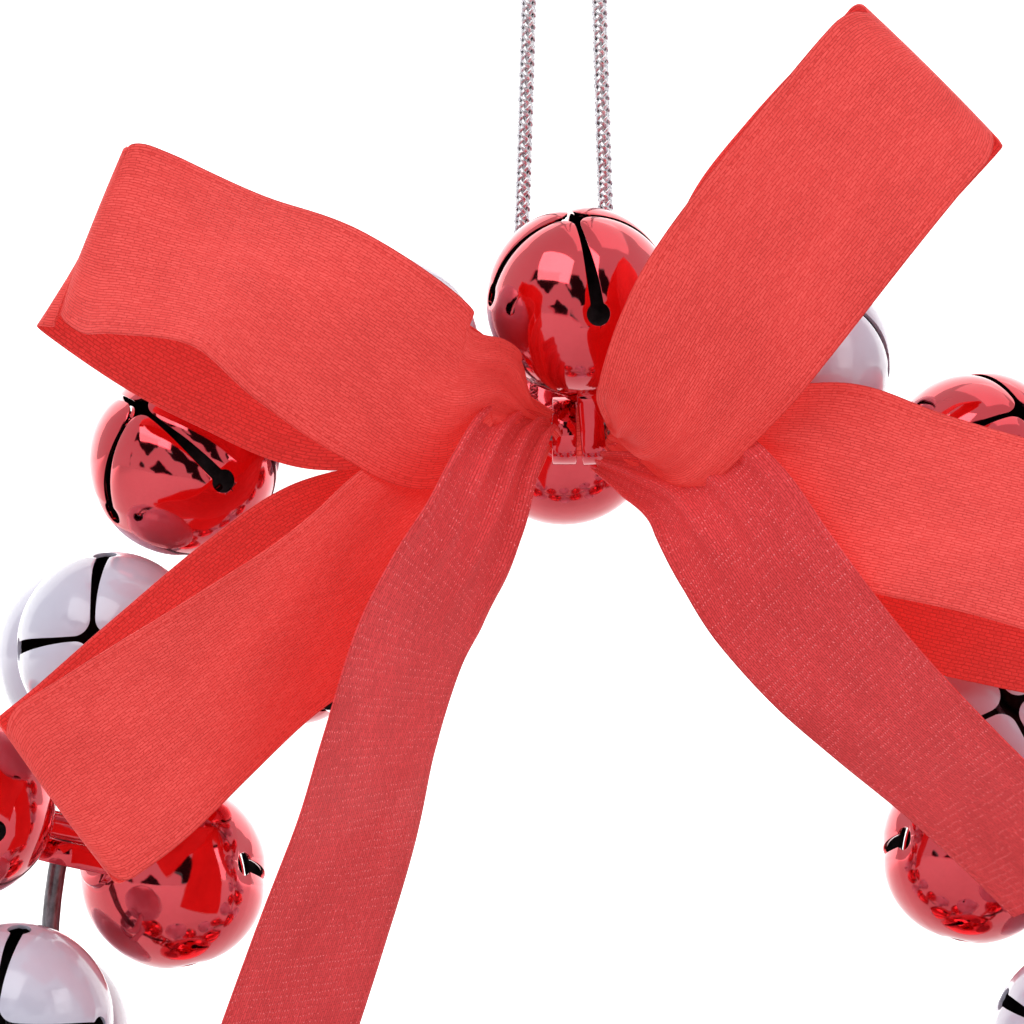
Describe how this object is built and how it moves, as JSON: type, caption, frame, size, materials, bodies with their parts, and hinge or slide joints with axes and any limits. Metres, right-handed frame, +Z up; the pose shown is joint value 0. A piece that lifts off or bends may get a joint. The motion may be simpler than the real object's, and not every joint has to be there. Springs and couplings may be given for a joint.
{
  "type": "jingle bell wreath ornament",
  "caption": "Round hanging Christmas wreath of red and white jingle bells on a wire ring, with a red ribbon double bow at the top and a silver cord loop.",
  "frame": {"origin": "where a hook bears, in the top bend of the hanging cord loop", "axes": "+Z up, +X to the wreath's right as seen from the front, -Y towards the viewer in front of the bow"},
  "size_m": [0.1752, 0.0715, 0.2659],
  "materials": {
    "wire": "dark drawn steel wire",
    "silver_cord": "braided metallic yarn",
    "ribbon": "satin weave, one shiny face",
    "red_bell": "red mirror lacquer over stamped steel",
    "white_bell": "glossy white lacquer over stamped steel",
    "pellet_steel": "plain steel ball"
  },
  "bodies": {
    "wreath": {"ring_wire": "wire", "hanging_cord": "silver_cord", "cord_hitches": "silver_cord", "bow_gather": "ribbon", "bow_loop_upper_left": "ribbon", "bow_loop_lower_left": "ribbon", "bow_loop_upper_right": "ribbon", "bow_loop_lower_right": "ribbon", "bow_tail_left": "ribbon", "bow_tail_right": "ribbon", "red_bell_top_front": "red_bell", "red_bell_top_rear": "red_bell"},
    "pellet_top_front_body": {"pellet_top_front": "pellet_steel"},
    "pellet_top_rear_body": {"pellet_top_rear": "pellet_steel"},
    "white_bell_left_1_front_body": {"white_bell_left_1_front": "white_bell"},
    "pellet_left_1_front_body": {"pellet_left_1_front": "pellet_steel"},
    "white_bell_left_1_rear_body": {"white_bell_left_1_rear": "white_bell"},
    "pellet_left_1_rear_body": {"pellet_left_1_rear": "pellet_steel"},
    "red_bell_left_2_front_body": {"red_bell_left_2_front": "red_bell"},
    "pellet_left_2_front_body": {"pellet_left_2_front": "pellet_steel"},
    "red_bell_left_2_rear_body": {"red_bell_left_2_rear": "red_bell"},
    "pellet_left_2_rear_body": {"pellet_left_2_rear": "pellet_steel"},
    "white_bell_left_3_front_body": {"white_bell_left_3_front": "white_bell"},
    "white_bell_left_3_rear_body": {"white_bell_left_3_rear": "white_bell"},
    "red_bell_left_4_front_body": {"red_bell_left_4_front": "red_bell"},
    "red_bell_left_4_rear_body": {"red_bell_left_4_rear": "red_bell"},
    "white_bell_left_5_front_body": {"white_bell_left_5_front": "white_bell"},
    "white_bell_left_5_rear_body": {"white_bell_left_5_rear": "white_bell"},
    "red_bell_left_6_front_body": {"red_bell_left_6_front": "red_bell"},
    "red_bell_left_6_rear_body": {"red_bell_left_6_rear": "red_bell"},
    "white_bell_left_7_front_body": {"white_bell_left_7_front": "white_bell"},
    "white_bell_left_7_rear_body": {"white_bell_left_7_rear": "white_bell"},
    "red_bell_left_8_front_body": {"red_bell_left_8_front": "red_bell"},
    "red_bell_left_8_rear_body": {"red_bell_left_8_rear": "red_bell"},
    "white_bell_right_1_front_body": {"white_bell_right_1_front": "white_bell"},
    "pellet_right_1_front_body": {"pellet_right_1_front": "pellet_steel"},
    "white_bell_right_1_rear_body": {"white_bell_right_1_rear": "white_bell"},
    "pellet_right_1_rear_body": {"pellet_right_1_rear": "pellet_steel"},
    "red_bell_right_2_front_body": {"red_bell_right_2_front": "red_bell"},
    "pellet_right_2_front_body": {"pellet_right_2_front": "pellet_steel"},
    "red_bell_right_2_rear_body": {"red_bell_right_2_rear": "red_bell"},
    "pellet_right_2_rear_body": {"pellet_right_2_rear": "pellet_steel"},
    "white_bell_right_3_front_body": {"white_bell_right_3_front": "white_bell"},
    "white_bell_right_3_rear_body": {"white_bell_right_3_rear": "white_bell"},
    "red_bell_right_4_front_body": {"red_bell_right_4_front": "red_bell"},
    "red_bell_right_4_rear_body": {"red_bell_right_4_rear": "red_bell"},
    "white_bell_right_5_front_body": {"white_bell_right_5_front": "white_bell"},
    "white_bell_right_5_rear_body": {"white_bell_right_5_rear": "white_bell"},
    "red_bell_right_6_front_body": {"red_bell_right_6_front": "red_bell"},
    "red_bell_right_6_rear_body": {"red_bell_right_6_rear": "red_bell"},
    "white_bell_right_7_front_body": {"white_bell_right_7_front": "white_bell"},
    "white_bell_right_7_rear_body": {"white_bell_right_7_rear": "white_bell"},
    "red_bell_right_8_front_body": {"red_bell_right_8_front": "red_bell"},
    "red_bell_right_8_rear_body": {"red_bell_right_8_rear": "red_bell"},
    "white_bell_bottom_front_body": {"white_bell_bottom_front": "white_bell"},
    "white_bell_bottom_rear_body": {"white_bell_bottom_rear": "white_bell"}
  },
  "joints": [
    {"name": "pellet_top_front_rattle", "type": "slide", "parent": "wreath", "child": "pellet_top_front_body", "axis": [0, 0, 1], "range_m": [0, 0.0168]},
    {"name": "pellet_top_rear_rattle", "type": "slide", "parent": "wreath", "child": "pellet_top_rear_body", "axis": [0, 0, 1], "range_m": [0, 0.0168]},
    {"name": "white_bell_left_1_front_rock", "type": "hinge", "parent": "wreath", "child": "white_bell_left_1_front_body", "pos_m": [-0.0193, 0, -0.11745], "axis": [0.9469, 0, 0.3215], "range_deg": [-1.5, 1.5]},
    {"name": "pellet_left_1_front_rattle", "type": "slide", "parent": "white_bell_left_1_front_body", "child": "pellet_left_1_front_body", "axis": [0, 0, 1], "range_m": [0, 0.0168]},
    {"name": "white_bell_left_1_rear_rock", "type": "hinge", "parent": "wreath", "child": "white_bell_left_1_rear_body", "pos_m": [-0.0193, 0, -0.11745], "axis": [0.9469, 0, 0.3215], "range_deg": [-1.5, 1.5]},
    {"name": "pellet_left_1_rear_rattle", "type": "slide", "parent": "white_bell_left_1_rear_body", "child": "pellet_left_1_rear_body", "axis": [0, 0, 1], "range_m": [0, 0.0168]},
    {"name": "red_bell_left_2_front_rock", "type": "hinge", "parent": "wreath", "child": "red_bell_left_2_front_body", "pos_m": [-0.03959, 0, -0.12872], "axis": [0.7736, 0, 0.6337], "range_deg": [-3.5, 3.5]},
    {"name": "pellet_left_2_front_rattle", "type": "slide", "parent": "red_bell_left_2_front_body", "child": "pellet_left_2_front_body", "axis": [0, 0, 1], "range_m": [0, 0.0168]},
    {"name": "red_bell_left_2_rear_rock", "type": "hinge", "parent": "wreath", "child": "red_bell_left_2_rear_body", "pos_m": [-0.03959, 0, -0.12872], "axis": [0.7736, 0, 0.6337], "range_deg": [-3.5, 3.5]},
    {"name": "pellet_left_2_rear_rattle", "type": "slide", "parent": "red_bell_left_2_rear_body", "child": "pellet_left_2_rear_body", "axis": [0, 0, 1], "range_m": [0, 0.0168]},
    {"name": "white_bell_left_3_front_rock", "type": "hinge", "parent": "wreath", "child": "white_bell_left_3_front_body", "pos_m": [-0.05304, 0, -0.14379], "axis": [0.5417, 0, 0.8406], "range_deg": [-3.5, 3.5]},
    {"name": "white_bell_left_3_rear_rock", "type": "hinge", "parent": "wreath", "child": "white_bell_left_3_rear_body", "pos_m": [-0.05304, 0, -0.14379], "axis": [0.5417, 0, 0.8406], "range_deg": [-3.5, 3.5]},
    {"name": "red_bell_left_4_front_rock", "type": "hinge", "parent": "wreath", "child": "red_bell_left_4_front_body", "pos_m": [-0.06171, 0, -0.16426], "axis": [0.2268, 0, 0.9739], "range_deg": [-3.5, 3.5]},
    {"name": "red_bell_left_4_rear_rock", "type": "hinge", "parent": "wreath", "child": "red_bell_left_4_rear_body", "pos_m": [-0.06171, 0, -0.16426], "axis": [0.2268, 0, 0.9739], "range_deg": [-3.5, 3.5]},
    {"name": "white_bell_left_5_front_rock", "type": "hinge", "parent": "wreath", "child": "white_bell_left_5_front_body", "pos_m": [-0.06293, 0, -0.1868], "axis": [-0.1199, 0, 0.9928], "range_deg": [-3.5, 3.5]},
    {"name": "white_bell_left_5_rear_rock", "type": "hinge", "parent": "wreath", "child": "white_bell_left_5_rear_body", "pos_m": [-0.06293, 0, -0.1868], "axis": [-0.1199, 0, 0.9928], "range_deg": [-3.5, 3.5]},
    {"name": "red_bell_left_6_front_rock", "type": "hinge", "parent": "wreath", "child": "red_bell_left_6_front_body", "pos_m": [-0.05621, 0, -0.20871], "axis": [-0.4571, 0, 0.8894], "range_deg": [-3.5, 3.5]},
    {"name": "red_bell_left_6_rear_rock", "type": "hinge", "parent": "wreath", "child": "red_bell_left_6_rear_body", "pos_m": [-0.05621, 0, -0.20871], "axis": [-0.4571, 0, 0.8894], "range_deg": [-3.5, 3.5]},
    {"name": "white_bell_left_7_front_rock", "type": "hinge", "parent": "wreath", "child": "white_bell_left_7_front_body", "pos_m": [-0.04204, 0, -0.22717], "axis": [-0.7411, 0, 0.6714], "range_deg": [-3.5, 3.5]},
    {"name": "white_bell_left_7_rear_rock", "type": "hinge", "parent": "wreath", "child": "white_bell_left_7_rear_body", "pos_m": [-0.04204, 0, -0.22717], "axis": [-0.7411, 0, 0.6714], "range_deg": [-3.5, 3.5]},
    {"name": "red_bell_left_8_front_rock", "type": "hinge", "parent": "wreath", "child": "red_bell_left_8_front_body", "pos_m": [-0.02195, 0, -0.23958], "axis": [-0.932, 0, 0.3623], "range_deg": [-3.5, 3.5]},
    {"name": "red_bell_left_8_rear_rock", "type": "hinge", "parent": "wreath", "child": "red_bell_left_8_rear_body", "pos_m": [-0.02195, 0, -0.23958], "axis": [-0.932, 0, 0.3623], "range_deg": [-3.5, 3.5]},
    {"name": "white_bell_right_1_front_rock", "type": "hinge", "parent": "wreath", "child": "white_bell_right_1_front_body", "pos_m": [0.0225, 0, -0.11745], "axis": [0.9469, 0, -0.3215], "range_deg": [-1.5, 1.5]},
    {"name": "pellet_right_1_front_rattle", "type": "slide", "parent": "white_bell_right_1_front_body", "child": "pellet_right_1_front_body", "axis": [0, 0, 1], "range_m": [0, 0.0168]},
    {"name": "white_bell_right_1_rear_rock", "type": "hinge", "parent": "wreath", "child": "white_bell_right_1_rear_body", "pos_m": [0.0225, 0, -0.11745], "axis": [0.9469, 0, -0.3215], "range_deg": [-1.5, 1.5]},
    {"name": "pellet_right_1_rear_rattle", "type": "slide", "parent": "white_bell_right_1_rear_body", "child": "pellet_right_1_rear_body", "axis": [0, 0, 1], "range_m": [0, 0.0168]},
    {"name": "red_bell_right_2_front_rock", "type": "hinge", "parent": "wreath", "child": "red_bell_right_2_front_body", "pos_m": [0.04146, 0, -0.12765], "axis": [0.7899, 0, -0.6132], "range_deg": [-3.5, 3.5]},
    {"name": "pellet_right_2_front_rattle", "type": "slide", "parent": "red_bell_right_2_front_body", "child": "pellet_right_2_front_body", "axis": [0, 0, 1], "range_m": [0, 0.0168]},
    {"name": "red_bell_right_2_rear_rock", "type": "hinge", "parent": "wreath", "child": "red_bell_right_2_rear_body", "pos_m": [0.04146, 0, -0.12765], "axis": [0.7899, 0, -0.6132], "range_deg": [-3.5, 3.5]},
    {"name": "pellet_right_2_rear_rattle", "type": "slide", "parent": "red_bell_right_2_rear_body", "child": "pellet_right_2_rear_body", "axis": [0, 0, 1], "range_m": [0, 0.0168]},
    {"name": "white_bell_right_3_front_rock", "type": "hinge", "parent": "wreath", "child": "white_bell_right_3_front_body", "pos_m": [0.05624, 0, -0.14379], "axis": [0.5417, 0, -0.8406], "range_deg": [-3.5, 3.5]},
    {"name": "white_bell_right_3_rear_rock", "type": "hinge", "parent": "wreath", "child": "white_bell_right_3_rear_body", "pos_m": [0.05624, 0, -0.14379], "axis": [0.5417, 0, -0.8406], "range_deg": [-3.5, 3.5]},
    {"name": "red_bell_right_4_front_rock", "type": "hinge", "parent": "wreath", "child": "red_bell_right_4_front_body", "pos_m": [0.06491, 0, -0.16426], "axis": [0.2268, 0, -0.9739], "range_deg": [-3.5, 3.5]},
    {"name": "red_bell_right_4_rear_rock", "type": "hinge", "parent": "wreath", "child": "red_bell_right_4_rear_body", "pos_m": [0.06491, 0, -0.16426], "axis": [0.2268, 0, -0.9739], "range_deg": [-3.5, 3.5]},
    {"name": "white_bell_right_5_front_rock", "type": "hinge", "parent": "wreath", "child": "white_bell_right_5_front_body", "pos_m": [0.06613, 0, -0.1868], "axis": [-0.1199, 0, -0.9928], "range_deg": [-3.5, 3.5]},
    {"name": "white_bell_right_5_rear_rock", "type": "hinge", "parent": "wreath", "child": "white_bell_right_5_rear_body", "pos_m": [0.06613, 0, -0.1868], "axis": [-0.1199, 0, -0.9928], "range_deg": [-3.5, 3.5]},
    {"name": "red_bell_right_6_front_rock", "type": "hinge", "parent": "wreath", "child": "red_bell_right_6_front_body", "pos_m": [0.05941, 0, -0.20871], "axis": [-0.4571, 0, -0.8894], "range_deg": [-3.5, 3.5]},
    {"name": "red_bell_right_6_rear_rock", "type": "hinge", "parent": "wreath", "child": "red_bell_right_6_rear_body", "pos_m": [0.05941, 0, -0.20871], "axis": [-0.4571, 0, -0.8894], "range_deg": [-3.5, 3.5]},
    {"name": "white_bell_right_7_front_rock", "type": "hinge", "parent": "wreath", "child": "white_bell_right_7_front_body", "pos_m": [0.04524, 0, -0.22717], "axis": [-0.7411, 0, -0.6714], "range_deg": [-3.5, 3.5]},
    {"name": "white_bell_right_7_rear_rock", "type": "hinge", "parent": "wreath", "child": "white_bell_right_7_rear_body", "pos_m": [0.04524, 0, -0.22717], "axis": [-0.7411, 0, -0.6714], "range_deg": [-3.5, 3.5]},
    {"name": "red_bell_right_8_front_rock", "type": "hinge", "parent": "wreath", "child": "red_bell_right_8_front_body", "pos_m": [0.02515, 0, -0.23958], "axis": [-0.932, 0, -0.3623], "range_deg": [-3.5, 3.5]},
    {"name": "red_bell_right_8_rear_rock", "type": "hinge", "parent": "wreath", "child": "red_bell_right_8_rear_body", "pos_m": [0.02515, 0, -0.23958], "axis": [-0.932, 0, -0.3623], "range_deg": [-3.5, 3.5]},
    {"name": "white_bell_bottom_front_rock", "type": "hinge", "parent": "wreath", "child": "white_bell_bottom_front_body", "pos_m": [0.0016, 0, -0.244], "axis": [-1, 0, 0], "range_deg": [-3.5, 3.5]},
    {"name": "white_bell_bottom_rear_rock", "type": "hinge", "parent": "wreath", "child": "white_bell_bottom_rear_body", "pos_m": [0.0016, 0, -0.244], "axis": [-1, 0, 0], "range_deg": [-3.5, 3.5]}
  ]
}
